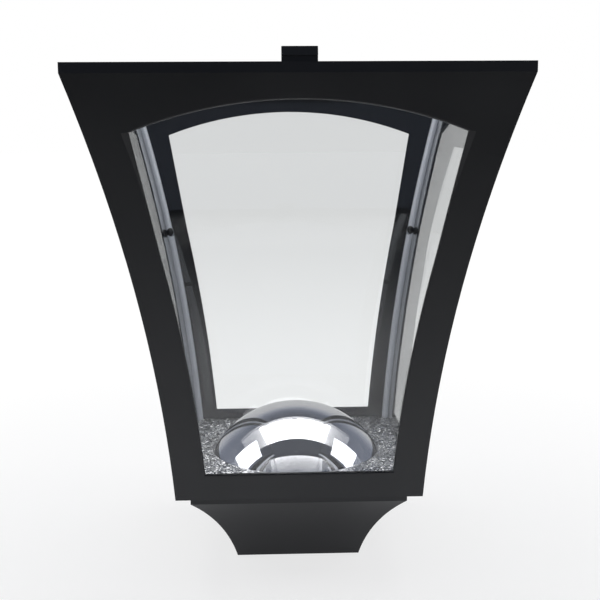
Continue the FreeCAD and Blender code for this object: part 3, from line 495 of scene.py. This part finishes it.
shade = add_node(floor_tree, "ShaderNodeMapRange",
                 {"Value": distance, "From Min": SHADOW_NEAR_M, "From Max": SHADOW_FAR_M,
                  "To Min": SHADOW_SHARE, "To Max": 0.0},
                 interpolation_type="SMOOTHSTEP").outputs["Result"]
albedo = add_node(floor_tree, "ShaderNodeMix",
                  {"Factor": on_table, "A": DARK_FLOOR, "B": WHITE_TABLE}).outputs[0]
unseen = add_node(floor_tree, "ShaderNodeMix",
                  {"Factor": floor_through, "A": albedo, "B": 0.0}).outputs[0]
base = add_node(floor_tree, "ShaderNodeMix",
                {"Factor": floor_ray["Is Camera Ray"], "A": unseen, "B": shade}).outputs[0]
grey = add_node(floor_tree, "ShaderNodeCombineColor", {"Red": base, "Green": base, "Blue": base})
floor_tree.links.new(grey.outputs["Color"], floor_shader.inputs["Base Color"])
floor_shader.inputs["Roughness"].default_value = 0.9
floor_shader.inputs["Specular IOR Level"].default_value = 0.1
print("floor colour from", DARK_FLOOR, "to", WHITE_TABLE)

# %% [markdown]
# The floor's glow. Mirrored and scattered rays meet the lamps under the table, and those of them
# that come through a pane meet the sweep as well. A ray that looks straight through the panes meets
# a pale background that dims with the distance. A ray straight from the camera meets white.

# %% Floor glow
TABLE_GLOW = 0.4
NEAR_GLOW, FAR_GLOW = 0.94, 0.82
NEAR_M, FAR_M = 0.3, 2.5

lamps_below = add_node(floor_tree, "ShaderNodeMath", {0: on_table, 1: TABLE_GLOW},
                       operation="MULTIPLY").outputs[0]
mirrored = add_node(floor_tree, "ShaderNodeMath",
                    {0: floor_ray["Is Transmission Ray"], 1: floor_sweep, 2: lamps_below},
                    operation="MULTIPLY_ADD").outputs[0]
pale = add_node(floor_tree, "ShaderNodeMapRange",
                {"Value": distance, "From Min": NEAR_M, "From Max": FAR_M,
                 "To Min": NEAR_GLOW, "To Max": FAR_GLOW}).outputs["Result"]
lit = add_node(floor_tree, "ShaderNodeMix", {"Factor": floor_through, "A": mirrored, "B": pale}).outputs[0]
white = add_node(floor_tree, "ShaderNodeMath", {0: 1.0, 1: shade}, operation="SUBTRACT").outputs[0]
glow = add_node(floor_tree, "ShaderNodeMix",
                {"Factor": floor_ray["Is Camera Ray"], "A": lit, "B": white}).outputs[0]
floor_tree.links.new(glow, floor_shader.inputs["Emission Strength"])
floor_shader.inputs["Emission Color"].default_value = (1, 1, 1, 1)
table.cycles.emission_sampling = "NONE"
print("the floor's material has", len(floor_tree.nodes), "nodes")

# %% [markdown]
# The room round it: a pale sweep behind, which fades upwards, and dim walls elsewhere under a dark
# ceiling. Walls could be modelled, but they are far off, so the world's colour by direction does.
# Y of a direction is 1 straight behind the lantern, and Z is 1 straight up.

# %% Room
REAR_START, REAR_FULL = 0.6, 0.95
LOW_FULL, LOW_END = 0.42, 0.68
WALL_TOP, CEILING_START = 0.55, 0.85
WALL_GLOW, CEILING_GLOW = 0.24, 0.08
SWEEP_WALL_GLOW = 0.56

world = bpy.data.worlds.new("studio")
bpy.context.scene.world = world
world.use_nodes = True
room_tree = world.node_tree
direction = add_node(room_tree, "ShaderNodeTexCoord").outputs["Generated"]
way = add_node(room_tree, "ShaderNodeSeparateXYZ", {"Vector": direction}).outputs
rear = add_node(room_tree, "ShaderNodeMapRange",
                {"Value": way["Y"], "From Min": REAR_START, "From Max": REAR_FULL},
                interpolation_type="SMOOTHSTEP").outputs["Result"]
low = add_node(room_tree, "ShaderNodeMapRange",
               {"Value": way["Z"], "From Min": LOW_FULL, "From Max": LOW_END,
                "To Min": 1.0, "To Max": 0.0},
               interpolation_type="SMOOTHSTEP").outputs["Result"]
sweep = add_node(room_tree, "ShaderNodeMath", {0: rear, 1: low}, operation="MULTIPLY").outputs[0]
walls = add_node(room_tree, "ShaderNodeMapRange",
                 {"Value": way["Z"], "From Min": WALL_TOP, "From Max": CEILING_START,
                  "To Min": WALL_GLOW, "To Max": CEILING_GLOW}).outputs["Result"]
room = add_node(room_tree, "ShaderNodeMix", {"Factor": sweep, "A": walls, "B": SWEEP_WALL_GLOW}).outputs[0]
print("walls at", WALL_GLOW, "ceiling at", CEILING_GLOW, "sweep at", SWEEP_WALL_GLOW)

# %% [markdown]
# What each kind of ray sees of the room. As on the floor, the camera sees white, and pale straight
# through the panes. The walls are a little cool, as daylight in a shaded room is. The sweep and the
# background are neutral.

# %% Room by kind of ray
COOL_WALL = "#CFDAF5"

backdrop = room_tree.nodes["Background"]
room_ray, room_through = kinds_of_rays(room_tree)
seen = add_node(room_tree, "ShaderNodeMix", {"Factor": room_through, "A": room, "B": FAR_GLOW}).outputs[0]
strength = add_node(room_tree, "ShaderNodeMix",
                    {"Factor": room_ray["Is Camera Ray"], "A": seen, "B": 1.0}).outputs[0]
plain = add_node(room_tree, "ShaderNodeMath", {0: room_ray["Is Camera Ray"], 1: room_through},
                 operation="MAXIMUM").outputs[0]
neutral = add_node(room_tree, "ShaderNodeMath", {0: plain, 1: sweep}, operation="MAXIMUM").outputs[0]
hue = add_node(room_tree, "ShaderNodeMix",
               {"Factor": neutral, "A": linear(COOL_WALL), "B": (1, 1, 1, 1)}, data_type="RGBA")
room_tree.links.new(hue.outputs["Result"], backdrop.inputs["Color"])
room_tree.links.new(strength, backdrop.inputs["Strength"])
print("the room has", len(room_tree.nodes), "nodes")

# %% [markdown]
# Three softboxes: a wide one overhead and a little behind, and one at each side. Two small cards
# stand low at the front corners, where the splayed window edges mirror them. The camera sees none of
# the lamps, and the cards don't show through the panes either, because from behind they would be
# bright squares. The level is plain, so a colour renders about as it is written.

# %% Softboxes
AIM = Vector((0, 0, 0.1))
LAMPS = [
    # name, place in metres, width, depth, watts, whether it shows through the panes
    ("softbox_overhead", (0, 0.33, 1.2), 1.3, 0.75, 9.0, True),
    ("softbox_left", (-0.95, 0.02, 0.9), 0.55, 0.55, 2.4, True),
    ("softbox_right", (0.95, 0.02, 0.9), 0.55, 0.55, 2.4, True),
    ("card_left", (-0.68, -0.66, 0.05), 0.35, 0.35, 0.8, False),
    ("card_right", (0.68, -0.66, 0.05), 0.35, 0.35, 0.8, False),
]

for name, stand, width, depth, watts, shows_through in LAMPS:
    bpy.ops.object.light_add(type="AREA", location=stand)
    lamp = bpy.context.object
    lamp.name = name
    lamp.data.shape = "RECTANGLE"
    lamp.data.size = width
    lamp.data.size_y = depth
    lamp.data.energy = watts
    lamp.visible_camera = False
    lamp.visible_transmission = shows_through
    lamp.rotation_euler = (AIM - Vector(stand)).to_track_quat("-Z", "Y").to_euler()
    print(name, "of", watts, "W")
